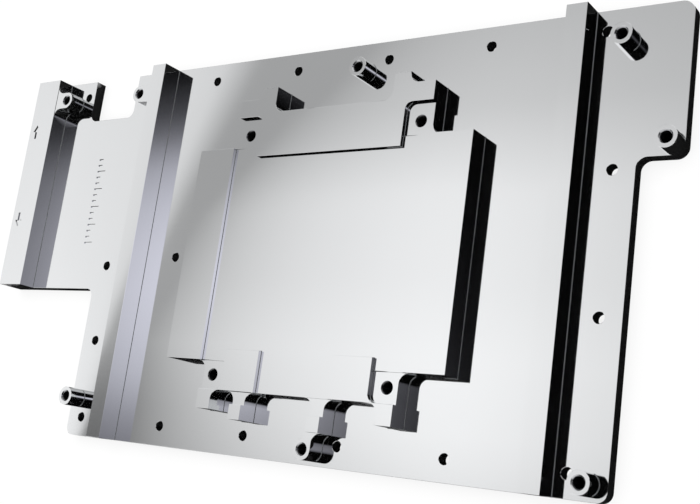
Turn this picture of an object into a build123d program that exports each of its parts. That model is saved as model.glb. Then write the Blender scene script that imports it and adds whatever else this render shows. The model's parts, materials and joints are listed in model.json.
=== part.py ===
from build123d import *
import os

# Cold plate of a full-cover gpu water block, machined from one piece of copper and nickel plated.
# The coolant side is below: +Z is the side that faces the graphics card, +Y is the card's top edge.
# The origin is the middle of the four gpu screws, on the face that the bars and bosses stand on.

# Plate outline, in mm from the gpu centre
PLATE_THICK = 3.4
EDGE_TOP = 58.0
EDGE_BOTTOM = -53.0
EDGE_LEFT = -122.6
EDGE_LEFT_LOW = -84.95
EDGE_RIGHT = 81.4
EDGE_RIGHT_HIGH = 92.0
LEFT_LEDGE_Y = -9.6
RIGHT_LEDGE_Y = 22.0
NOTCH_LEFT = -100.4
NOTCH_RIGHT = -81.3
NOTCH_Y = 44.6
CUTTER_R = 2.5
TOP_RIGHT_R = 3.0

# Heights above the face of the plate
LAND_HIGH = 6.0
DIE_HIGH = 5.0
POCKET_HIGH = 4.75
BLOCK_HIGH = 5.1
TONGUE_HIGH = 5.0

# Left block and the two bars
BLOCK_WIDE = 10.1
BAR_WIDE = 5.2
BAR_LEFT_X = -69.55
BAR_RIGHT_X = 63.9

# Pedestal over the gpu and its memory
BODY_LEFT = -43.8
BODY_RIGHT = 43.2
SIDE_Y = 29.3
SIDE_LAND_IN = 31.6
TOP_LAND_Y = 26.5
BOTTOM_LAND_Y = -26.2
LAND_SIDE_X = 23.0
LAND_GAP_LEFT = -11.8
LAND_GAP_RIGHT = 11.4
BODY_TOP_Y = 38.9
BODY_BOTTOM_Y = -36.9
EAR_TOP_Y = 46.0
EAR_STEP_Y = 43.0
EAR_IN_LEFT = -19.1
EAR_IN_RIGHT = 18.7
EAR_STEP_X = 23.5
EAR_OUT_LEFT = -31.2
EAR_OUT_RIGHT = 31.0
POCKET_TOP_Y = 38.0
POCKET_R = 2.0
LEG_OUT = 30.45
LEG_IN = 25.9
LEG_END_Y = -42.0
FINGER_LEFT_X = -19.0
FINGER_WIDE = 3.9
FINGER_END_Y = -44.1
FINGER_STEP_Y = -40.3
STEM_LEFT_X = 6.2
STEM_END_Y = -45.2
STEM_STEP_Y = -41.3

# Threaded holes and bosses
THREAD_R = 1.5
THREAD_DEEP = 5.0
THREAD_LEAD_IN = 0.18
BOSS_R = 2.6
GPU_PITCH_X = 54.7
GPU_PITCH_Y = 66.0
CARD_ROW_TOP = 49.7
CARD_ROW_BOTTOM = -49.4
BOSS_BOTTOM = (5.2, CARD_ROW_BOTTOM)
BOSS_PLACES = (
    (-82.3, -42.3),
    (-74.5, CARD_ROW_TOP),
    (5.8, CARD_ROW_TOP),
    BOSS_BOTTOM,
    (77.4, CARD_ROW_TOP),
    (76.9, CARD_ROW_BOTTOM),
    (EDGE_RIGHT_HIGH - BOSS_R, RIGHT_LEDGE_Y + BOSS_R),
)
TONGUE_HOLE = (-107.8, 50.7)

# Cover screw holes through the plate
COVER_HOLE_R = 1.35
COVER_PITCH = 30.0
COVER_FIRST_X = -48.0
COVER_ROW_TOP = 52.85
COVER_ROW_BOTTOM = -47.65
COVER_ODD_HOLES = (
    (-103.15, COVER_ROW_TOP),
    (-80.65, -2.5),
    (-79.7, -25.1),
    (-79.7, COVER_ROW_BOTTOM),
    (-52.85, 0.0),
    (76.0, 19.4),
    (76.0, -14.0),
)

# Coolant side: chamber, fins and seal groove
SEAL_LINE = (
    (-114.0, 5.0),
    (-46.0, 5.0),
    (-46.0, -42.0),
    (68.0, -42.0),
    (68.0, 48.0),
    (-74.0, 48.0),
    (-74.0, 37.0),
    (-114.0, 37.0),
)
SEAL_CORNER_R = 5.0
SEAL_WIDE = 2.0
SEAL_DEEP = 1.5
SEAL_LAND = 2.0
CHAMBER_DEEP = 1.4
PORT_RIB = 3.0
FIN_FIELD_X = 44.0
FIN_FIELD_Y = 40.0
FIN_PITCH = 1.1
FIN_GAP = 0.55
FIN_DEEP = 4.0


def rounded_outline(corners):
    """A flat face from (x, y, radius) corners; a radius of 0 stays sharp."""
    line = Polyline([(x, y) for x, y, r in corners], close=True)
    face = make_face(line)
    for x, y, r in corners:
        if r > 0:
            corner = face.vertices().sort_by_distance((x, y, 0))[0]
            face = fillet(corner, r)
    return face


def raised(face, high, low=0.0):
    """A flat outline drawn up from the face of the plate."""
    return extrude(Pos(0, 0, low) * face, high - low)


def rect(x0, x1, y0, y1):
    return Pos((x0 + x1) / 2, (y0 + y1) / 2) * Rectangle(x1 - x0, y1 - y0)


def plate():
    outline = rounded_outline([
        (EDGE_LEFT, EDGE_TOP, 0),
        (EDGE_LEFT, LEFT_LEDGE_Y, 0),
        (EDGE_LEFT_LOW, LEFT_LEDGE_Y, CUTTER_R),
        (EDGE_LEFT_LOW, EDGE_BOTTOM, CUTTER_R),
        (EDGE_RIGHT, EDGE_BOTTOM, CUTTER_R),
        (EDGE_RIGHT, RIGHT_LEDGE_Y, CUTTER_R),
        (EDGE_RIGHT_HIGH, RIGHT_LEDGE_Y, BOSS_R),
        (EDGE_RIGHT_HIGH, EDGE_TOP, TOP_RIGHT_R),
        (NOTCH_RIGHT, EDGE_TOP, 0),
        (NOTCH_RIGHT, NOTCH_Y, CUTTER_R),
        (NOTCH_LEFT, NOTCH_Y, CUTTER_R),
        (NOTCH_LEFT, EDGE_TOP, 0),
    ])
    return extrude(outline, -PLATE_THICK)


def bars():
    left = rect(BAR_LEFT_X, BAR_LEFT_X + BAR_WIDE, EDGE_BOTTOM, EDGE_TOP)
    right = rect(BAR_RIGHT_X, BAR_RIGHT_X + BAR_WIDE, EDGE_BOTTOM, EDGE_TOP)
    return raised(left, LAND_HIGH) + raised(right, LAND_HIGH)


def block_with_tongue():
    """The left block, and the tongue that holds a screw boss at its upper end."""
    block_right = EDGE_LEFT + BLOCK_WIDE
    block = rect(EDGE_LEFT, block_right, LEFT_LEDGE_Y, EDGE_TOP)
    hole_x, hole_y = TONGUE_HOLE
    low = hole_y - BOSS_R
    high = hole_y + BOSS_R
    root = 2 * CUTTER_R
    tongue = rounded_outline([
        (block_right - root, low - root, 0),
        (block_right, low - root, 0),
        (block_right, low, CUTTER_R),
        (hole_x, low, 0),
        (hole_x, high, 0),
        (block_right, high, CUTTER_R),
        (block_right, EDGE_TOP, 0),
        (block_right - root, EDGE_TOP, 0),
    ])
    tongue += Pos(hole_x, hole_y) * Circle(BOSS_R)
    return raised(block, BLOCK_HIGH) + raised(tongue, TONGUE_HIGH)


def pedestal_outline():
    return rounded_outline([
        (BODY_LEFT, SIDE_Y, 0),
        (BODY_LEFT, -SIDE_Y, 0),
        (-LEG_OUT, -SIDE_Y, CUTTER_R),
        (-LEG_OUT, LEG_END_Y, 0),
        (-LEG_IN, LEG_END_Y, 0),
        (-LEG_IN, BODY_BOTTOM_Y, CUTTER_R),
        (FINGER_LEFT_X, BODY_BOTTOM_Y, CUTTER_R),
        (FINGER_LEFT_X, FINGER_END_Y, 0),
        (FINGER_LEFT_X + FINGER_WIDE, FINGER_END_Y, 0),
        (FINGER_LEFT_X + FINGER_WIDE, BODY_BOTTOM_Y, CUTTER_R),
        (STEM_LEFT_X, BODY_BOTTOM_Y, CUTTER_R),
        (STEM_LEFT_X, STEM_END_Y, 0),
        (STEM_LEFT_X + FINGER_WIDE, STEM_END_Y, 0),
        (STEM_LEFT_X + FINGER_WIDE, BODY_BOTTOM_Y, CUTTER_R),
        (LEG_IN, BODY_BOTTOM_Y, CUTTER_R),
        (LEG_IN, LEG_END_Y, 0),
        (LEG_OUT, LEG_END_Y, 0),
        (LEG_OUT, -SIDE_Y, CUTTER_R),
        (BODY_RIGHT, -SIDE_Y, 0),
        (BODY_RIGHT, SIDE_Y, 0),
        (EAR_OUT_RIGHT, SIDE_Y, CUTTER_R),
        (EAR_OUT_RIGHT, EAR_STEP_Y, 0),
        (EAR_STEP_X, EAR_STEP_Y, CUTTER_R),
        (EAR_STEP_X, EAR_TOP_Y, 0),
        (EAR_IN_RIGHT, EAR_TOP_Y, 0),
        (EAR_IN_RIGHT, BODY_TOP_Y, CUTTER_R),
        (EAR_IN_LEFT, BODY_TOP_Y, CUTTER_R),
        (EAR_IN_LEFT, EAR_TOP_Y, 0),
        (-EAR_STEP_X, EAR_TOP_Y, 0),
        (-EAR_STEP_X, EAR_STEP_Y, CUTTER_R),
        (EAR_OUT_LEFT, EAR_STEP_Y, 0),
        (EAR_OUT_LEFT, SIDE_Y, CUTTER_R),
    ])


def die_floor():
    """The lower middle of the pedestal, which meets the gpu die."""
    side = SIDE_LAND_IN
    middle = rect(-side, side, -SIDE_Y, SIDE_Y)
    middle += rect(LAND_GAP_LEFT, LAND_GAP_RIGHT, BODY_BOTTOM_Y - CUTTER_R, 0)
    middle -= rect(-LAND_SIDE_X, LAND_SIDE_X, TOP_LAND_Y, SIDE_Y)
    middle -= rect(-LAND_SIDE_X, LAND_GAP_LEFT, -SIDE_Y, BOTTOM_LAND_Y)
    middle -= rect(LAND_GAP_RIGHT, LAND_SIDE_X, -SIDE_Y, BOTTOM_LAND_Y)
    return middle


def corner_pocket(side, y0, y1):
    """The floor round one gpu screw: open to the outside, round in its two inner corners."""
    inner = side * LAND_SIDE_X
    outer = side * (LEG_OUT + CUTTER_R + 0.1)
    return rounded_outline([
        (inner, y0, POCKET_R),
        (outer, y0, 0),
        (outer, y1, 0),
        (inner, y1, POCKET_R),
    ])


def pocket_floors():
    floors = corner_pocket(-1, SIDE_Y, POCKET_TOP_Y) + corner_pocket(1, SIDE_Y, POCKET_TOP_Y)
    floors += corner_pocket(-1, BODY_BOTTOM_Y, -SIDE_Y) + corner_pocket(1, BODY_BOTTOM_Y, -SIDE_Y)
    wide = CUTTER_R + 0.1
    floors += rect(FINGER_LEFT_X - wide, FINGER_LEFT_X + FINGER_WIDE + wide, FINGER_STEP_Y, BODY_BOTTOM_Y)
    floors += rect(STEM_LEFT_X - wide, STEM_LEFT_X + FINGER_WIDE + wide, STEM_STEP_Y, BODY_BOTTOM_Y)
    return floors


def pedestal():
    body = raised(pedestal_outline(), LAND_HIGH)
    body -= raised(die_floor(), LAND_HIGH, DIE_HIGH)
    body -= raised(pocket_floors(), LAND_HIGH, POCKET_HIGH)
    return body


def bosses():
    """Round screw bosses, and the web that joins the bottom one to its stem."""
    faces = Sketch() + [Pos(x, y) * Circle(BOSS_R) for x, y in BOSS_PLACES]
    hole_x, hole_y = BOSS_BOTTOM
    boss_side = hole_x + BOSS_R
    stem_side = STEM_LEFT_X + FINGER_WIDE
    web = rounded_outline([
        (hole_x, hole_y, 0),
        (boss_side, hole_y, 0),
        (boss_side, STEM_END_Y, CUTTER_R),
        (boss_side + 2 * CUTTER_R, STEM_END_Y, 0),
        (boss_side + 2 * CUTTER_R, STEM_STEP_Y, 0),
        (hole_x, STEM_STEP_Y, 0),
    ])
    web &= rect(STEM_LEFT_X, stem_side, hole_y, STEM_STEP_Y)
    return raised(faces + web, BLOCK_HIGH)


def threaded_holes():
    """Blind screw holes with a small lead-in, cut down from each boss and pocket floor."""
    places = [(x, y, BLOCK_HIGH) for x, y in BOSS_PLACES]
    places.append((TONGUE_HOLE[0], TONGUE_HOLE[1], TONGUE_HIGH))
    for side_x in (-1, 1):
        for side_y in (-1, 1):
            places.append((side_x * GPU_PITCH_X / 2, side_y * GPU_PITCH_Y / 2, POCKET_HIGH))
    cuts = Part()
    for x, y, mouth in places:
        bore = Pos(x, y, mouth - THREAD_DEEP / 2) * Cylinder(THREAD_R, THREAD_DEEP)
        lead = Pos(x, y, mouth - THREAD_LEAD_IN / 2) * Cone(THREAD_R, THREAD_R + THREAD_LEAD_IN, THREAD_LEAD_IN)
        cuts += bore + lead
    return cuts


def cover_holes():
    places = list(COVER_ODD_HOLES)
    for step in range(5):
        x = COVER_FIRST_X + step * COVER_PITCH
        places += [(x, COVER_ROW_TOP), (x, COVER_ROW_BOTTOM)]
    faces = Sketch() + [Pos(x, y) * Circle(COVER_HOLE_R) for x, y in places]
    return extrude(faces, -PLATE_THICK)


def seal_face(inset):
    corners = [(x, y, SEAL_CORNER_R) for x, y in SEAL_LINE]
    return offset(rounded_outline(corners), -inset)


def coolant_side():
    """What is cut from the back: the seal groove, the coolant chamber and the fins."""
    half = SEAL_WIDE / 2
    groove = extrude(seal_face(-half) - seal_face(half), SEAL_DEEP)
    room = seal_face(half + SEAL_LAND)
    rib_y = (SEAL_LINE[0][1] + SEAL_LINE[-1][1]) / 2
    room -= rect(EDGE_LEFT, BODY_LEFT, rib_y - PORT_RIB / 2, rib_y + PORT_RIB / 2)
    chamber = extrude(room, CHAMBER_DEEP)
    slots = Part()
    count = int(FIN_FIELD_X / FIN_PITCH)
    for index in range(count):
        x = (index - (count - 1) / 2) * FIN_PITCH
        slots += Pos(x, 0, CHAMBER_DEEP + FIN_DEEP / 2) * Box(FIN_GAP, FIN_FIELD_Y, FIN_DEEP)
    return Pos(0, 0, -PLATE_THICK) * (groove + chamber + slots)


def cold_plate():
    body = plate() + bars() + block_with_tongue() + pedestal() + bosses()
    body -= threaded_holes()
    body -= cover_holes()
    body -= coolant_side()
    return body.solid()


os.makedirs("parts", exist_ok=True)
plate_solid = cold_plate()
plate_solid.label = "cold_plate"
export_step(plate_solid, "parts/cold_plate.step")
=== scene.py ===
import json
import math

import bmesh
import bpy
import numpy as np
from mathutils import Matrix, Vector
from mathutils.geometry import delaunay_2d_cdt


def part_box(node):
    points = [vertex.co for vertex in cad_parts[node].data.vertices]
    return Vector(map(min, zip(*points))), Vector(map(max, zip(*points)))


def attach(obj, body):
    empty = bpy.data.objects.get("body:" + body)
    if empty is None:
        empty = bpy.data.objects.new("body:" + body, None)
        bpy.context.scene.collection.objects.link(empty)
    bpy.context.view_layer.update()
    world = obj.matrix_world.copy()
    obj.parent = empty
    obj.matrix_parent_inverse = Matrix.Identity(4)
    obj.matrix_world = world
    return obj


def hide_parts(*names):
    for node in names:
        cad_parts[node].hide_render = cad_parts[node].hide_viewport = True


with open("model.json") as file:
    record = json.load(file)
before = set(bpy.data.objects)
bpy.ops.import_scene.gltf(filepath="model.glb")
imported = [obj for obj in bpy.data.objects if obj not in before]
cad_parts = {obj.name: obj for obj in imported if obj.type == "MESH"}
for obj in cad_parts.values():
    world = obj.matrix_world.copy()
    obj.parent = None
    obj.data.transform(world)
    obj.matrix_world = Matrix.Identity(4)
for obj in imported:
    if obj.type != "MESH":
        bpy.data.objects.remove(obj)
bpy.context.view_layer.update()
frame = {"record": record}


# The cold plate: one block of copper, milled on both sides and nickel plated all over.
# The side that faces the graphics card has two bars, a block, a pedestal and screw bosses.
# All its outlines are laid over each other in plan, and each patch between them gets its own height.
MM = 0.001
(LEFT, BOTTOM, BACK), (RIGHT, TOP, LAND) = (
    [round(length / MM, 3) for length in corner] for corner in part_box("cold_plate"))
FACE, BOSS = 0.0, 5.1
CUTTER, BOSS_R = 2.5, 2.6
LOW_LEFT, LOW_RIGHT = -84.95, 81.4
LEDGE_LEFT, LEDGE_RIGHT = -9.6, 22.0
NOTCH_LEFT, NOTCH_RIGHT, NOTCH_DEPTH = -100.4, -81.3, 44.6
BLOCK_RIGHT = -112.5
BAR_WIDE, BAR_LEFT, BAR_RIGHT = 5.2, -69.55, 63.9
FOOT, RIM = 0.14, 0.06
FOOT_RINGS = [share * FOOT for share in (0.134, 0.5, 1)]
RINGS = {"base": [-RIM], "hole": [RIM], "rise": [-RIM, *FOOT_RINGS],
         "cut": [RIM, *(-ring for ring in FOOT_RINGS)]}
outlines = []


def rounded(corners, step=0.3):
    """Plan points from (x, y, radius) corners, with each round corner as short chords."""
    points = []
    for index, (x, y, r) in enumerate(corners):
        here = Vector((x, y))
        if r == 0:
            points.append(here)
            continue
        before = (Vector(corners[index - 1][:2]) - here).normalized()
        after = (Vector(corners[(index + 1) % len(corners)][:2]) - here).normalized()
        half = before.angle(after) / 2
        centre = here + (before + after).normalized() * (r / math.sin(half))
        start = here + before * (r / math.tan(half)) - centre
        end = here + after * (r / math.tan(half)) - centre
        sweep = start.angle_signed(end)
        chords = max(4, round(abs(sweep) * r / step))
        for k in range(chords + 1):
            turn = -sweep * k / chords
            c, s = math.cos(turn), math.sin(turn)
            points.append(centre + Vector((start.x * c - start.y * s, start.x * s + start.y * c)))
    return points


def rectangle(x0, x1, y0, y1):
    """Plan points of an upright rectangle, counter-clockwise."""
    return [Vector(p) for p in ((x0, y0), (x1, y0), (x1, y1), (x0, y1))]


def moved_out(points, distance):
    """A closed outline moved outwards by a distance, or inwards if it is negative."""
    line = []
    for index, here in enumerate(points):
        before = (here - points[index - 1]).normalized()
        after = (points[(index + 1) % len(points)] - here).normalized()
        out = Vector((before.y + after.y, -before.x - after.x)).normalized()
        line.append(here + out * (distance / max(out.dot(Vector((before.y, -before.x))), 0.4)))
    return line


def spaced(points, longest=5.0):
    """The same outline with more points along its long sides, so the patches between stay compact."""
    line = []
    for here, after in zip(points, points[1:] + points[:1]):
        pieces = max(1, math.ceil((after - here).length / longest))
        line.extend(here.lerp(after, k / pieces) for k in range(pieces))
    return line


def lay(kind, level, points):
    """Adds one outline, turned counter-clockwise, with the guide lines for its rounded foot and broken rim."""
    turn = sum(a.x * b.y - b.x * a.y for a, b in zip(points, points[1:] + points[:1]))
    points = spaced(points if turn > 0 else points[::-1])
    outlines.append((kind, level, points))
    for distance in RINGS.get(kind, ()):
        outlines.append(("guide", level, moved_out(points, distance)))


lay("base", FACE, rounded([
    (LEFT, TOP, 0), (LEFT, LEDGE_LEFT, 0), (LOW_LEFT, LEDGE_LEFT, CUTTER),
    (LOW_LEFT, BOTTOM, CUTTER), (LOW_RIGHT, BOTTOM, CUTTER), (LOW_RIGHT, LEDGE_RIGHT, CUTTER),
    (RIGHT, LEDGE_RIGHT, BOSS_R), (RIGHT, TOP, 3.0), (NOTCH_RIGHT, TOP, 0),
    (NOTCH_RIGHT, NOTCH_DEPTH, CUTTER), (NOTCH_LEFT, NOTCH_DEPTH, CUTTER), (NOTCH_LEFT, TOP, 0),
]))
lay("rise", BOSS, rectangle(LEFT, BLOCK_RIGHT, LEDGE_LEFT, TOP))
lay("rise", LAND, rectangle(BAR_LEFT, BAR_LEFT + BAR_WIDE, BOTTOM, TOP))
lay("rise", LAND, rectangle(BAR_RIGHT, BAR_RIGHT + BAR_WIDE, BOTTOM, TOP))


# The tongue on the left block, with round inner corners, holds a screw at its end.
# It is milled from the same metal, a hair lower than the block.
TONGUE, TONGUE_ROOT, INTO_BLOCK = 5.0, 7.6, 5
mounts = {mount["name"]: mount for mount in frame["record"]["mounts"]}


def screws(name):
    """Plan places of the screws of a mount in the record, from left to right."""
    x, y = mounts[name]["pos_m"][:2]
    across, along = (mounts[name]["dims"].get(key, 0) / 2 for key in ("spacing_x_mm", "spacing_y_mm"))
    return sorted({(round(x / MM + i * across, 3), round(y / MM + j * along, 3))
                   for i in (-1, 1) for j in (-1, 1)})


TONGUE_X, TONGUE_Y = screws("card_screw_tongue")[0]
tongue_turns = [math.radians(t) for t in range(-90, 91, 6)]
tongue_end = [(TONGUE_X + BOSS_R * math.cos(t), TONGUE_Y + BOSS_R * math.sin(t), 0) for t in tongue_turns]
lay("rise", TONGUE, rounded([
    (BLOCK_RIGHT - INTO_BLOCK, TONGUE_Y - TONGUE_ROOT, 0), (BLOCK_RIGHT, TONGUE_Y - TONGUE_ROOT, 0),
    (BLOCK_RIGHT, TONGUE_Y - BOSS_R, CUTTER), *tongue_end,
    (BLOCK_RIGHT, TONGUE_Y + BOSS_R, CUTTER), (BLOCK_RIGHT, TOP, 0), (BLOCK_RIGHT - INTO_BLOCK, TOP, 0),
]))


# The pedestal over the graphics chip and its memory, with legs, ears and four screw pockets.
# Its lands stand 6 mm proud; the middle for the chip is 1 mm lower and the pocket floors a little more.
DIE, POCKET = 5.0, 4.75
BODY_LEFT, BODY_RIGHT, SIDE = -43.8, 43.2, 29.3
LEG, LEG_IN, LEG_END = 30.45, 25.9, -42.0
BODY_TOP, BODY_BOTTOM = 38.9, -36.9
FINGER, FINGER_END, FINGER_STEP = -19.0, -44.1, -40.3
STEM, STEM_END, STEM_STEP = 6.2, -45.2, -41.3
FINGER_WIDE = 3.9
EAR_LEFT, EAR_RIGHT, EAR_TOP = -31.2, 31.0, 43.0
TAB_LEFT, TAB_RIGHT, TAB_OUT, TAB_TOP = -19.1, 18.7, 23.5, 46.0
STRIP, LAND_X, LAND_TOP, LAND_LOW = 31.6, 23.0, 26.5, -26.2
DIP_LEFT, DIP_RIGHT = -11.8, 11.4
POCKET_OUT, POCKET_TOP, POCKET_R, PAST = 33.2, 38.0, 2, 3
lay("rise", LAND, rounded([
    (BODY_LEFT, SIDE, 0), (BODY_LEFT, -SIDE, 0), (-LEG, -SIDE, CUTTER), (-LEG, LEG_END, 0),
    (-LEG_IN, LEG_END, 0), (-LEG_IN, BODY_BOTTOM, CUTTER), (FINGER, BODY_BOTTOM, CUTTER),
    (FINGER, FINGER_END, 0), (FINGER + FINGER_WIDE, FINGER_END, 0),
    (FINGER + FINGER_WIDE, BODY_BOTTOM, CUTTER), (STEM, BODY_BOTTOM, CUTTER), (STEM, STEM_END, 0),
    (STEM + FINGER_WIDE, STEM_END, 0), (STEM + FINGER_WIDE, BODY_BOTTOM, CUTTER),
    (LEG_IN, BODY_BOTTOM, CUTTER), (LEG_IN, LEG_END, 0), (LEG, LEG_END, 0), (LEG, -SIDE, CUTTER),
    (BODY_RIGHT, -SIDE, 0), (BODY_RIGHT, SIDE, 0), (EAR_RIGHT, SIDE, CUTTER), (EAR_RIGHT, EAR_TOP, 0),
    (TAB_OUT, EAR_TOP, CUTTER), (TAB_OUT, TAB_TOP, 0), (TAB_RIGHT, TAB_TOP, 0), (TAB_RIGHT, BODY_TOP, CUTTER),
    (TAB_LEFT, BODY_TOP, CUTTER), (TAB_LEFT, TAB_TOP, 0), (-TAB_OUT, TAB_TOP, 0), (-TAB_OUT, EAR_TOP, CUTTER),
    (EAR_LEFT, EAR_TOP, 0), (EAR_LEFT, SIDE, CUTTER),
]))
lay("cut", DIE, [Vector(p) for p in (
    (-STRIP, -SIDE), (-LAND_X, -SIDE), (-LAND_X, LAND_LOW), (DIP_LEFT, LAND_LOW),
    (DIP_LEFT, BODY_BOTTOM - PAST), (DIP_RIGHT, BODY_BOTTOM - PAST), (DIP_RIGHT, LAND_LOW), (LAND_X, LAND_LOW),
    (LAND_X, -SIDE), (STRIP, -SIDE), (STRIP, SIDE), (LAND_X, SIDE), (LAND_X, LAND_TOP),
    (-LAND_X, LAND_TOP), (-LAND_X, SIDE), (-STRIP, SIDE),
)])
for side in (-1, 1):
    lay("cut", POCKET, rounded([(side * LAND_X, SIDE, 0), (side * POCKET_OUT, SIDE, 0),
                                (side * POCKET_OUT, POCKET_TOP, 0), (side * LAND_X, POCKET_TOP, POCKET_R)]))
    lay("cut", POCKET, rounded([(side * LAND_X, BODY_BOTTOM, POCKET_R), (side * POCKET_OUT, BODY_BOTTOM, 0),
                                (side * POCKET_OUT, -SIDE, 0), (side * LAND_X, -SIDE, 0)]))
for left, end in ((FINGER, FINGER_STEP), (STEM, STEM_STEP)):
    lay("cut", POCKET, rectangle(left - PAST, left + FINGER_WIDE + PAST, end, BODY_BOTTOM))


# Screw bosses, turned round by the cutter and left standing on the plate. Each takes an M3 screw.
# The bottom one runs into the stem through a round web, and the upper left one into the left bar.
WEB_CHORDS, WEB_SHORT, WEB_UP, WEB_SLOPE, INTO_BAR = 14, 0.05, 0.6, 0.35, 0.5


def circle(x, y, r, chords=48):
    """Plan points of a full circle, counter-clockwise."""
    turns = [math.tau * k / chords for k in range(chords)]
    return [Vector((x + r * math.cos(t), y + r * math.sin(t))) for t in turns]


side_boss, top_boss = screws("card_screws_top_left")
low_boss, low_right_boss = screws("card_screws_bottom")
bosses = [*screws("card_screw_low_left"), side_boss, top_boss, low_boss, screws("card_screws_top_right")[1],
          low_right_boss, *screws("card_screw_corner")]
for x, y in bosses:
    lay("rise", BOSS, circle(x, y, BOSS_R, 56))

x, y = low_boss
stem_right, web_side = STEM + FINGER_WIDE, x + BOSS_R
web_middle = Vector((web_side + CUTTER, STEM_END - CUTTER))
web_turns = [math.pi - math.pi / 2 * k / WEB_CHORDS for k in range(WEB_CHORDS + 1)]
web = [web_middle + Vector((math.cos(t), math.sin(t))) * CUTTER for t in web_turns]
lay("rise", BOSS, [Vector((x, y)), Vector((web_side, y)), *(p for p in web if p.x < stem_right - WEB_SHORT),
                   *rectangle(x, stem_right, STEM_END, STEM_END + WEB_UP)[1:]])

x, y = side_boss
lay("rise", BOSS, [Vector(p) for p in (
    (x, y - BOSS_R), (BAR_LEFT + INTO_BAR, y - BOSS_R - WEB_SLOPE), (BAR_LEFT + INTO_BAR, y + BOSS_R),
    (x, y + BOSS_R))])


# Holes: plain ones right through for the cover's screws, and blind tapped ones for the card's.
# The tapped holes are only opened here; their walls are cut further down.
COVER_R = mounts["cover_screws_outer"]["dims"]["hole_r_mm"]
MOUTH_R = 1.68
for name in sorted(mounts):
    if name.startswith("cover_screw"):
        for x, y in screws(name):
            lay("hole", 0, circle(x, y, COVER_R, 32))
tapped = [(x, y, BOSS) for x, y in bosses] + [(TONGUE_X, TONGUE_Y, TONGUE)]
tapped += [(x, y, POCKET) for x, y in screws("gpu_screws")]
for x, y, level in tapped:
    lay("thread", level, circle(x, y, MOUTH_R))


# Engraved marks: an arrow in and an arrow out on the block, and a row of plain ticks on the plate.
# A fine cutter sinks them by a third of a millimetre before plating.
MARK_DEPTH = 0.3
ARROW_LONG, ARROW_WIDE, ARROW_SHAFT, ARROW_NECK = 4.6, 3.0, 0.16, 0.02
TICK_X, TICK_Y, TICK_PITCH, TICK_WIDE, TICKS = -92.6, 4.5, 1.9, 0.5, 15
TICK_LONG, TICK_SHORT = 3.4, 1.7


def arrow(x, y, way):
    """Plan outline of an arrow that points along +y for way 1 and along -y for way -1."""
    side = [(ARROW_SHAFT, -0.5), (ARROW_SHAFT, ARROW_NECK), (0.5, ARROW_NECK)]
    shape = side + [(0, 0.5)] + [(-across, along) for across, along in reversed(side)]
    return [Vector((x + across * ARROW_WIDE, y + along * ARROW_LONG * way)) for across, along in shape]


for x, y, way in ((-119.5, 40.8, 1), (-119.6, 11.4, -1)):
    lay("mark", BOSS - MARK_DEPTH, arrow(x, y, way))
for k in range(TICKS):
    y, tick = TICK_Y + k * TICK_PITCH, TICK_SHORT if k % 3 else TICK_LONG
    lay("mark", FACE - MARK_DEPTH, rectangle(TICK_X, TICK_X + tick, y, y + TICK_WIDE))


# The coolant side: a seal groove, a shallow chamber split by a rib, and fins under the chip.
# It is flat apart from those, because the clear cover is screwed against it.
SEAL_R, GROOVE_DEEP, CHAMBER_DEEP, CHAMBER_IN = 5, 1.5, 1.4, 3
SEAL = [(-114, 5, 1, 1, -1), (-46, 5, 1, 1, 1), (-46, -42, 1, 1, -1), (68, -42, -1, 1, -1),
        (68, 48, -1, -1, -1), (-74, 48, 1, -1, -1), (-74, 37, 1, -1, 1), (-114, 37, 1, -1, -1)]
RIB_LEFT, RIB_LOW, RIB_HIGH = -112, 19.5, 22.5
FINS, FIN_PITCH, SLOT_WIDE, SLOT_LONG, SLOT_DEEP = 40, 1.1, 0.55, 40, 5.4


def seal(inset):
    """The seal's middle line moved inwards. A corner has x, y, the ways inwards, and 1 if it is hollow."""
    return rounded([(x + inset * in_x, y + inset * in_y, max(SEAL_R + inset * hollow, 0.5))
                    for x, y, in_x, in_y, hollow in SEAL], 0.6)


lay("hollow", BACK + GROOVE_DEEP, seal(-1))
lay("plug", BACK, seal(1))
lay("hollow", BACK + CHAMBER_DEEP, seal(CHAMBER_IN))
lay("plug", BACK, rectangle(RIB_LEFT, BODY_LEFT, RIB_LOW, RIB_HIGH))
for k in range(FINS):
    x = (k - (FINS - 1) / 2) * FIN_PITCH
    lay("hollow", BACK + SLOT_DEEP,
        rectangle(x - SLOT_WIDE / 2, x + SLOT_WIDE / 2, -SLOT_LONG / 2, SLOT_LONG / 2))


# The skin of the milled plate, put together from all the outlines above as one closed mesh.
# Each patch gets its height, each step its wall and broken rim, and walls that face right a rounded foot.
FLAT, LOW_STEP, FACES_RIGHT = 1e-4, 0.5, 0.5
LEANING, SHARP_TURN = 0.05, 0.6


def heights(members):
    """Lower and upper height of a patch from the outlines it lies in, or None where there is no metal."""
    kinds = [outlines[m][0] for m in members]
    if "base" not in kinds or "hole" in kinds:
        return None
    upper = max(outlines[m][1] for m in members if outlines[m][0] in ("base", "rise"))
    for m in members:
        if outlines[m][0] in ("cut", "mark"):
            upper = min(upper, outlines[m][1])
    lower = BACK
    for m in sorted(members):
        if outlines[m][0] == "hollow":
            lower = max(lower, outlines[m][1])
        elif outlines[m][0] == "plug":
            lower = BACK
    if "thread" in kinds:
        upper = None
    return lower, upper


def distance_to(places, segments):
    """Distance in plan from each place to the nearest of the segments."""
    best = np.full(len(places), 99.0)
    for start, end in segments:
        along = end - start
        share = np.clip((places - start) @ along / (along @ along), 0, 1)
        best = np.minimum(best, np.hypot(*(places - start - share[:, None] * along).T))
    return best


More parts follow.
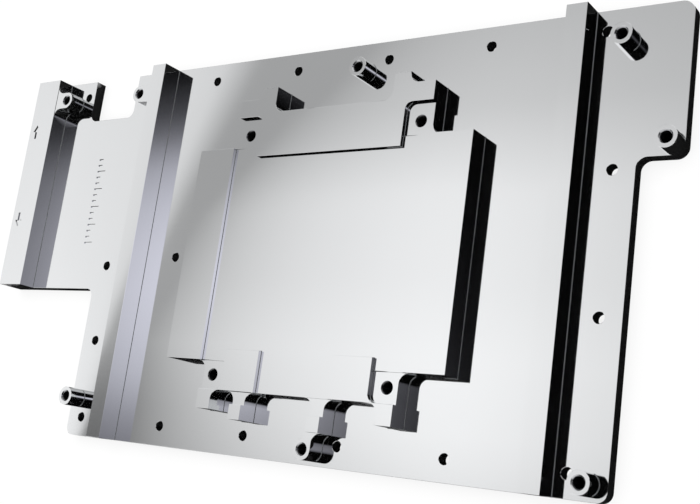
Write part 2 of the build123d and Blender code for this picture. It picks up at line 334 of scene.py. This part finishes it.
def build_plate():
    """The skin as a mesh in metres, open only at the tapped holes' mouths."""
    points, loops = [], []
    for kind, level, line in outlines:
        loops.append(list(range(len(points), len(points) + len(line))))
        points.extend(line)
    verts, _, faces, _, _, owners = delaunay_2d_cdt(points, [], loops, 1, FLAT)
    plan = np.array([tuple(v) for v in verts])
    spans = [heights(members) for members in owners]
    span_of = {(a, b): span for face, span in zip(faces, spans) if span
               for a, b in zip(face, face[1:] + face[:1])}

    feet, rims = {}, {}
    for (a, b), (lower, upper) in span_of.items():
        beyond = span_of.get((b, a))
        step = None if beyond and beyond[1] is None else (beyond[1] if beyond else BACK)
        if upper is None or step is None or abs(step - upper) < LOW_STEP:
            continue
        run = plan[b] - plan[a]
        turned = -run[1] / math.hypot(*run)
        if step < upper and turned < FACES_RIGHT:
            rims.setdefault(upper, []).append((plan[a], plan[b]))
        elif step > upper and turned > FACES_RIGHT:
            feet.setdefault(upper, []).append((plan[a], plan[b]))
    tops = {}
    for level in {span[1] for span in spans if span and span[1] is not None}:
        used = sorted({v for face, span in zip(faces, spans) if span and span[1] == level for v in face})
        near = np.clip(1 - distance_to(plan[used], feet.get(level, [])) / FOOT, 0, 1)
        broken = np.clip(RIM - distance_to(plan[used], rims.get(level, [])), 0, RIM)
        top = level + FOOT * (1 - np.sqrt(1 - near ** 2)) - broken
        tops[level] = {v: round(float(z), 5) for v, z in zip(used, top)}

    mesh = bmesh.new()
    columns = {}

    def at(v, z):
        levels = columns.setdefault(v, {})
        if z not in levels:
            levels[z] = mesh.verts.new((plan[v][0] * MM, plan[v][1] * MM, z * MM))
        return levels[z]

    for face, span in zip(faces, spans):
        if span is None:
            continue
        lower, upper = span
        if upper is not None:
            high = [tops[upper][v] for v in face]
            top_face = mesh.faces.new([at(v, z) for v, z in zip(face, high)])
            top_face.smooth = max(high) - min(high) > FLAT
            # Faces that rise into the rounded foot take the matt corner material, with its painted shade.
            top_face.material_index = 2 if max(high) > upper + FLAT else 0
        mesh.faces.new([at(v, lower) for v in reversed(face)])
    for (a, b), (lower, upper) in span_of.items():
        beyond = span_of.get((b, a))
        walls = []
        if beyond is None:
            walls.append((lower, lower, tops[upper][a], tops[upper][b]))
        else:
            if upper is not None and beyond[1] is not None and upper > beyond[1]:
                walls.append((tops[beyond[1]][a], tops[beyond[1]][b], tops[upper][a], tops[upper][b]))
            if lower < beyond[0]:
                walls.append((lower, lower, beyond[0], beyond[0]))
        for low_a, low_b, high_a, high_b in walls:
            line_a = [columns[a][z] for z in sorted(columns[a]) if low_a <= z <= high_a]
            line_b = [columns[b][z] for z in sorted(columns[b]) if low_b <= z <= high_b]
            if len(line_a) + len(line_b) > 2:
                mesh.faces.new(line_a[::-1] + line_b).smooth = True
    bmesh.ops.recalc_face_normals(mesh, faces=mesh.faces)
    for edge in mesh.edges:
        upright = {abs(face.normal.z) < LEANING for face in edge.link_faces}
        edge.smooth = len(upright) == 1 and edge.calc_face_angle(0) < SHARP_TURN
    return mesh


plate_mesh = build_plate()


# M3 threads in the tapped holes: a short lead-in, then a helical groove down to a drilled point.
# They are cut in the metal, so their top ring is welded to the mouth of the hole.
PITCH, LEAD, THREAD_DEEP, POINT = 0.5, 0.04, 4.9, 0.1
CREST_R, GROOVE_R, GROOVE_SHARE, FLANK_SHARE = 1.25, 1.52, 0.12, 0.7


def cut_thread(mesh, x, y, mouth, chords=48, steps=8):
    """Adds the wall of one tapped hole, from its mouth down to its point."""
    levels = [0.0] + [LEAD + k * PITCH / steps for k in range(int(THREAD_DEEP / PITCH * steps))]
    rings = []
    for depth in levels:
        ring = []
        for k in range(chords):
            t = math.tau * k / chords
            phase = (depth / PITCH + k / chords) % 1
            crest = min(max((abs(phase - 0.5) * 2 - GROOVE_SHARE) / FLANK_SHARE, 0), 1)
            r = max(GROOVE_R - (GROOVE_R - CREST_R) * crest, MOUTH_R - depth)
            ring.append(mesh.verts.new(((x + r * math.cos(t)) * MM, (y + r * math.sin(t)) * MM,
                                        (mouth - depth) * MM)))
        rings.append(ring)
    point = mesh.verts.new((x * MM, y * MM, (mouth - THREAD_DEEP - POINT) * MM))
    for upper, lower in zip(rings, rings[1:]):
        for k in range(chords):
            j = (k + 1) % chords
            mesh.faces.new((upper[k], upper[j], lower[j], lower[k])).material_index = 1
    for k in range(chords):
        mesh.faces.new((rings[-1][k], rings[-1][(k + 1) % chords], point)).material_index = 1
    for face in mesh.faces:
        face.smooth = face.smooth or face.material_index == 1


for x, y, mouth in tapped:
    cut_thread(plate_mesh, x, y, mouth)
bmesh.ops.remove_doubles(plate_mesh, verts=plate_mesh.verts, dist=0.002 * MM)
plate_data = bpy.data.meshes.new("cold_plate_finish")
plate_mesh.to_mesh(plate_data)
plate_mesh.free()
plate = bpy.data.objects.new("cold_plate_finish", plate_data)
bpy.context.scene.collection.objects.link(plate)
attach(plate, "root")
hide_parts("cold_plate")


# Bright nickel over polished copper: a near mirror with a faint haze and a slight ripple.
# Polishing leaves lines along the plate, and the cutter's layers show faintly on the walls.
RIPPLE = 2e-6


def polish_group():
    """Grey haze, tone and ripple over the metal, from a place on it and which way it faces."""
    group = bpy.data.node_groups.new("polish_marks", "ShaderNodeTree")
    for name, kind in (("Place", "NodeSocketVector"), ("Facing", "NodeSocketVector"),
                       ("Lines", "NodeSocketFloat"), ("Clouds", "NodeSocketFloat")):
        group.interface.new_socket(name, in_out="INPUT", socket_type=kind)
    for name in ("Haze", "Tone", "Ripple"):
        group.interface.new_socket(name, in_out="OUTPUT", socket_type="NodeSocketFloat")
    new, link = group.nodes.new, group.links.new
    given, made = new("NodeGroupInput"), new("NodeGroupOutput")

    def noise(scale, stretch, detail):
        """A noise over the metal, finer along the axes that are stretched more."""
        spread = new("ShaderNodeVectorMath")
        spread.operation = "MULTIPLY"
        spread.inputs[1].default_value = stretch
        link(given.outputs["Place"], spread.inputs[0])
        node = new("ShaderNodeTexNoise")
        node.inputs["Scale"].default_value = scale
        node.inputs["Detail"].default_value = detail
        link(spread.outputs[0], node.inputs["Vector"])
        return node.outputs["Fac"]

    def worked(kind, *values):
        """A math node on numbers and other nodes' outputs."""
        node = new("ShaderNodeMath")
        node.operation = kind
        for socket, value in zip(node.inputs, values):
            if isinstance(value, (int, float)):
                socket.default_value = value
            else:
                link(value, socket)
        return node.outputs[0]

    facing = new("ShaderNodeSeparateXYZ")
    link(given.outputs["Facing"], facing.inputs[0])
    level_part = worked("MULTIPLY", facing.outputs["Z"], facing.outputs["Z"])
    wall_part = worked("SUBTRACT", 1.0, level_part)
    clouds = noise(70, (1, 1, 1), 3)
    rubbed = noise(120, (1, 14, 4), 2)
    layers = noise(300, (0.05, 0.05, 9), 1)
    flat_lines = worked("MULTIPLY", rubbed, level_part)
    wall_lines = worked("MULTIPLY", layers, wall_part)
    lines = worked("MULTIPLY", worked("ADD", flat_lines, wall_lines), given.outputs["Lines"])
    link(worked("MULTIPLY_ADD", clouds, given.outputs["Clouds"], lines), made.inputs["Haze"])
    link(worked("MULTIPLY_ADD", clouds, 0.4, wall_lines), made.inputs["Tone"])
    link(noise(85, (1, 1, 1), 1), made.inputs["Ripple"])
    return group


polish = polish_group()


def metal_finish(name, smooth, hazy, dark, bright):
    """A metal whose roughness runs from smooth to hazy and its colour from dark to bright."""
    made = bpy.data.materials.new(name)
    made.use_nodes = True
    nodes, links = made.node_tree.nodes, made.node_tree.links
    metal = nodes["Principled BSDF"]
    metal.inputs["Metallic"].default_value = 1.0
    place, facing = nodes.new("ShaderNodeTexCoord"), nodes.new("ShaderNodeNewGeometry")
    marks = nodes.new("ShaderNodeGroup")
    marks.node_tree = polish
    marks.inputs["Lines"].default_value = 0.6
    marks.inputs["Clouds"].default_value = 0.4
    links.new(place.outputs["Object"], marks.inputs["Place"])
    links.new(facing.outputs["Normal"], marks.inputs["Facing"])
    rough = nodes.new("ShaderNodeMapRange")
    rough.inputs["From Min"].default_value, rough.inputs["From Max"].default_value = 0.25, 0.75
    rough.inputs["To Min"].default_value, rough.inputs["To Max"].default_value = smooth, hazy
    links.new(marks.outputs["Haze"], rough.inputs["Value"])
    links.new(rough.outputs[0], metal.inputs["Roughness"])
    colour = nodes.new("ShaderNodeMix")
    colour.data_type = "RGBA"
    colour.inputs["A"].default_value, colour.inputs["B"].default_value = (*dark, 1), (*bright, 1)
    links.new(marks.outputs["Tone"], colour.inputs[0])
    links.new(colour.outputs["Result"], metal.inputs["Base Color"])
    bump = nodes.new("ShaderNodeBump")
    bump.inputs["Distance"].default_value = RIPPLE
    links.new(marks.outputs["Ripple"], bump.inputs["Height"])
    links.new(bump.outputs[0], metal.inputs["Normal"])
    plate.data.materials.append(made)
    return made


metal_finish("bright_nickel", 0.045, 0.07, (0.84, 0.85, 0.86), (0.87, 0.88, 0.89))


# The tapped holes are bright at the mouth and painted dark further down.
# The dark is painted shade deep in the holes, where little light reaches.
SHADED_BELOW, UNSHADED_ABOVE = 4.35, 5.15
tapping = metal_finish("tapped_hole", 0.14, 0.3, (0.75, 0.76, 0.78), (0.85, 0.86, 0.88))
nodes, links = tapping.node_tree.nodes, tapping.node_tree.links
metal = nodes["Principled BSDF"]
height = nodes.new("ShaderNodeSeparateXYZ")
links.new(nodes["Texture Coordinate"].outputs["Object"], height.inputs[0])
depth = nodes.new("ShaderNodeMapRange")
depth.interpolation_type = "SMOOTHSTEP"
depth.inputs["From Min"].default_value = SHADED_BELOW * MM
depth.inputs["From Max"].default_value = UNSHADED_ABOVE * MM
links.new(height.outputs["Z"], depth.inputs["Value"])
# Painted shade: near black below the shaded height, full colour above the unshaded one.
painted_depth_shade = nodes.new("ShaderNodeMix")
painted_depth_shade.data_type = "RGBA"
painted_depth_shade.inputs["A"].default_value = (0.012, 0.012, 0.013, 1)
links.new(depth.outputs[0], painted_depth_shade.inputs[0])
links.new(metal.inputs["Base Color"].links[0].from_socket, painted_depth_shade.inputs["B"])
links.new(painted_depth_shade.outputs["Result"], metal.inputs["Base Color"])


# The thin inner corners at the foot of the walls, which the polishing wheel doesn't reach.
# The cutter leaves them matt, and their colour is painted darker than the flats beside them, as painted shade
# in the corners.
metal_finish("matt_corner_painted_shade", 0.4, 0.5, (0.30, 0.31, 0.32), (0.36, 0.37, 0.38))


# The white table that the plate lies on. It shows white, with a painted soft shadow close to the plate.
# In the metal it shows white too, but a painted shade darkens it near the plate, from how much of the sky the
# plate hides there.
BELOW = 0.02
bpy.ops.mesh.primitive_plane_add(size=4, location=(0, 0, (BACK - BELOW) * MM))
table_top = bpy.context.object
table_top.name = "table_top"
paper = bpy.data.materials.new("white_paper")
paper.use_nodes = True
sheet, wires = paper.node_tree.nodes, paper.node_tree.links
sheet["Principled BSDF"].inputs["Base Color"].default_value = (0.03, 0.03, 0.03, 1)
sheet["Principled BSDF"].inputs["Roughness"].default_value = 1.0
sheet["Principled BSDF"].inputs["Specular IOR Level"].default_value = 0.0
ray = sheet.new("ShaderNodeLightPath")


def near_shadow(distance, stops):
    """How far the plate hides the sky from a point of the table, as a grey level for painted shadow."""
    closed = sheet.new("ShaderNodeAmbientOcclusion")
    closed.inputs["Distance"].default_value = distance
    closed.samples = 16
    level = sheet.new("ShaderNodeValToRGB")
    for stop, (place, grey_level) in zip(level.color_ramp.elements, stops):
        stop.position = place
        stop.color = (grey_level, grey_level, grey_level, 1)
    wires.new(closed.outputs["AO"], level.inputs[0])
    return level.outputs[0]


def joined(kind, a, b):
    """A math node on two of the paper's outputs."""
    node = sheet.new("ShaderNodeMath")
    node.operation = kind
    wires.new(a, node.inputs[0])
    wires.new(b, node.inputs[1])
    return node.outputs[0]


# Painted shadows: a light one that the camera sees, and a darker, wider painted shade that the metal mirrors.
soft_shadow = near_shadow(6 * MM, [(0.4, 0.88), (0.95, 1.0)])
shown = joined("MULTIPLY", ray.outputs["Is Camera Ray"], soft_shadow)
through = joined("ADD", ray.outputs["Is Glossy Ray"], ray.outputs["Is Transmission Ray"])
mirror_painted_shade = joined("MULTIPLY", through, near_shadow(50 * MM, [(0.975, 0.0), (1.0, 1.0)]))
sheet["Principled BSDF"].inputs["Emission Color"].default_value = (1, 1, 1, 1)
wires.new(joined("ADD", shown, mirror_painted_shade), sheet["Principled BSDF"].inputs["Emission Strength"])
table_top.data.materials.append(paper)


# The soft box over the left side of the table: a lit sheet of cloth, uneven from edge to edge.
# A soft grey band crosses it. The plate's flat tops mirror it: u and v are where a line from the
# camera's mirror image below the plate meets the cloth, as slopes.
EYE = Vector((0.16969, -0.05572, 0.22182))
SHEET_UP, SHEET_SIZE, SHEET_AT = 0.32, (1.62, 1.3), (-0.75, 0.55)
SHEET_STEP = SHEET_UP + EYE.z
bpy.ops.mesh.primitive_plane_add(size=1)
sheet_panel = bpy.context.object
sheet_panel.name = "soft_box"
sheet_panel.data.transform(Matrix.Translation((*SHEET_AT, SHEET_UP)) @ Matrix.Diagonal((*SHEET_SIZE, 1, 1)))
sheet_panel.visible_camera = False
cloth = bpy.data.materials.new("lit_cloth")
cloth.use_nodes = True
drawing = cloth.node_tree


def calc(kind, *values):
    """A math node in the drawing at hand."""
    node = drawing.nodes.new("ShaderNodeMath")
    node.operation = kind
    for socket, value in zip(node.inputs, values):
        if isinstance(value, (int, float)):
            socket.default_value = value
        else:
            drawing.links.new(value, socket)
    return node.outputs[0]


def curve(value, stops, shape="LINEAR"):
    """A profile through (place, level) stops, places rising, flat beyond its ends."""
    first, last = stops[0][0], stops[-1][0]
    low, high = min(level for _, level in stops), max(level for _, level in stops)
    node = drawing.nodes.new("ShaderNodeValToRGB")
    node.color_ramp.interpolation = shape
    for index, (place, level) in enumerate(stops):
        across, share = (place - first) / (last - first), (level - low) / (high - low)
        if index < 2:
            stop = node.color_ramp.elements[index]
            stop.position = across
        else:
            stop = node.color_ramp.elements.new(across)
        stop.color = (share, share, share, 1)
    drawing.links.new(calc("DIVIDE", calc("SUBTRACT", value, first), last - first), node.inputs[0])
    return calc("ADD", calc("MULTIPLY", node.outputs[0], high - low), low)


def blend(amount, low, high):
    """From low to high as the amount runs from 0 to 1."""
    return calc("ADD", calc("MULTIPLY", calc("SUBTRACT", high, low), amount), low)


split = drawing.nodes.new("ShaderNodeSeparateXYZ")
drawing.links.new(drawing.nodes.new("ShaderNodeNewGeometry").outputs["Position"], split.inputs[0])
u = calc("DIVIDE", calc("SUBTRACT", split.outputs["X"], EYE.x), SHEET_STEP)
v = calc("DIVIDE", calc("SUBTRACT", split.outputs["Y"], EYE.y), SHEET_STEP)

# Right of the band the cloth goes from the band's grey to its brightest, later and faster towards the back.
band = curve(v, [(0, -1.117), (0.1, -1.087), (0.18, -1.06), (0.35, -0.987), (0.51, -0.909)])
past_band = calc("SUBTRACT", u, band)
grey = curve(v, [(0, 0.15), (0.06, 0.215), (0.14, 0.385), (0.25, 0.4), (0.38, 0.39), (0.5, 0.41)])
brightest = curve(v, [(0, 1.4), (0.06, 1.42), (0.14, 1.26), (0.22, 1.135), (0.32, 1.07), (0.42, 0.755),
                      (0.51, 0.635)])
late = curve(v, [(0, 0.05), (0.14, 0.04), (0.3, 0.06), (0.51, 0.17)])
soft = curve(v, [(0, 0.43), (0.14, 0.255), (0.3, 0.16), (0.51, 0.087)])
right_end = curve(u, [(-1, 1), (-0.75, 0.943), (-0.55, 0.872), (-0.35, 0.546)], "CARDINAL")
fall = calc("DIVIDE", calc("MAXIMUM", calc("SUBTRACT", past_band, late), 0), soft)
inside = calc("MULTIPLY", calc("SUBTRACT", 1, calc("EXPONENT", calc("MULTIPLY", fall, -1))), right_end)
near_side = blend(inside, grey, brightest)

# Left of the band it is bright again, over a width that grows towards the back.
width = curve(v, [(0, 0.045), (0.12, 0.108), (0.25, 0.212), (0.51, 0.429)])
left_of_band = calc("DIVIDE", calc("MULTIPLY", past_band, -1), width)
outside = curve(left_of_band, [(0, 0), (0.15, 0.73), (0.4, 0.89), (1, 1)])
far_side = curve(v, [(0, 1.04), (0.25, 0.94), (0.51, 0.88)])
front_edge = curve(v, [(-0.007, 0), (0.003, 1)], "EASE")
right_edge = curve(u, [(-0.3, 1), (-0.25, 0)], "EASE")
lit = calc("MULTIPLY", blend(outside, near_side, far_side), calc("MULTIPLY", front_edge, right_edge))
shine = drawing.nodes.new("ShaderNodeEmission")
drawing.links.new(lit, shine.inputs["Strength"])
drawing.links.new(shine.outputs[0], drawing.nodes["Material Output"].inputs["Surface"])
drawing.nodes.remove(drawing.nodes["Principled BSDF"])
sheet_panel.data.materials.append(cloth)


# The rest of the studio is drawn on the sky: u and v are where a ray meets a ceiling one unit up.
# A small cool lamp hangs to the right, and the far walls are pale beyond a dark gap.
# Seen by the camera itself, the whole studio is white.
studio = bpy.data.worlds.new("studio")
bpy.context.scene.world = studio
studio.use_nodes = True
drawing = studio.node_tree
split = drawing.nodes.new("ShaderNodeSeparateXYZ")
drawing.links.new(drawing.nodes.new("ShaderNodeTexCoord").outputs["Generated"], split.inputs[0])
ceiling = calc("DIVIDE", 1, calc("MAXIMUM", split.outputs["Z"], 0.02))
u = calc("MULTIPLY", split.outputs["X"], ceiling)
v = calc("MULTIPLY", split.outputs["Y"], ceiling)
slant = calc("MULTIPLY", calc("MINIMUM", calc("MAXIMUM", v, 0), 0.5), 0.45)
cool_near = curve(calc("SUBTRACT", u, slant), [
    (0.3, 0), (0.45, 0.002), (0.5, 0.006), (0.55, 0.035), (0.6, 0.11), (0.65, 0.25), (0.69, 0.46), (0.75, 0.78),
    (0.82, 1)])
cool_far = curve(u, [(1.02, 1), (1.12, 0.8), (1.27, 0.36), (1.5, 0.08), (1.7, 0)])
cool_across = curve(v, [
    (-0.15, 0), (0, 0.24), (0.044, 0.39), (0.098, 0.66), (0.152, 0.79), (0.206, 0.86), (0.26, 0.83),
    (0.314, 0.74), (0.368, 0.57), (0.422, 0.18), (0.45, 0.07), (0.5, 0.005)])
cool_box = calc("MULTIPLY", calc("MULTIPLY", cool_near, cool_far), cool_across)

# A round lamp hangs straight above. The pale walls stand all round, lower behind the cool lamp.
reach = calc("SQRT", calc("ADD", calc("MULTIPLY", u, u), calc("MULTIPLY", v, v)))
lamp_above = curve(reach, [(0.22, 0.75), (0.32, 0)], "EASE")
pale_walls = curve(reach, [(1.4, 0), (1.62, 0.8)], "EASE")
to_right = calc("SUBTRACT", u, calc("MULTIPLY", calc("ABSOLUTE", v), 1.2))
beside_lamp = curve(to_right, [(0.2, 1), (0.7, 0)], "EASE")
pale_right = curve(u, [(2.4, 0), (3.5, 0.75)], "EASE")
pale = calc("MAXIMUM", calc("MULTIPLY", pale_walls, beside_lamp), calc("MAXIMUM", pale_right, lamp_above))

tinted = drawing.nodes.new("ShaderNodeMix")
tinted.data_type = "RGBA"
tinted.blend_type = "MULTIPLY"
tinted.inputs[0].default_value = 1.0
tinted.inputs["B"].default_value = (1.0, 0.99, 1.1, 1)
drawing.links.new(cool_box, tinted.inputs["A"])
lights = drawing.nodes.new("ShaderNodeMix")
lights.data_type = "RGBA"
lights.blend_type = "ADD"
lights.inputs[0].default_value = 1.0
drawing.links.new(tinted.outputs["Result"], lights.inputs["A"])
drawing.links.new(calc("MAXIMUM", pale, 0.001), lights.inputs["B"])
seen = drawing.nodes.new("ShaderNodeMix")
seen.data_type = "RGBA"
seen.inputs["B"].default_value = (1, 1, 1, 1)
drawing.links.new(drawing.nodes.new("ShaderNodeLightPath").outputs["Is Camera Ray"], seen.inputs[0])
drawing.links.new(lights.outputs["Result"], seen.inputs["A"])
drawing.links.new(seen.outputs["Result"], drawing.nodes["Background"].inputs["Color"])


# The camera looks down on the plate from its lower right, with the card's top edge up.
camera_data = bpy.data.cameras.new("camera")
camera_data.lens = 56.82
camera_data.sensor_width = 36
camera_data.clip_start = 0.01
camera = bpy.data.objects.new("camera", camera_data)
right = Vector((0.81669, 0.13461, -0.56115))
up = Vector((0.00719, 0.96997, 0.24313))
back = right.cross(up).normalized()
up = back.cross(right).normalized()
turned = Matrix((right.normalized(), up, back)).transposed().to_4x4()
camera.matrix_world = Matrix.Translation(EYE) @ turned
bpy.context.scene.collection.objects.link(camera)
bpy.context.scene.camera = camera
bpy.context.scene.view_settings.view_transform = "Standard"
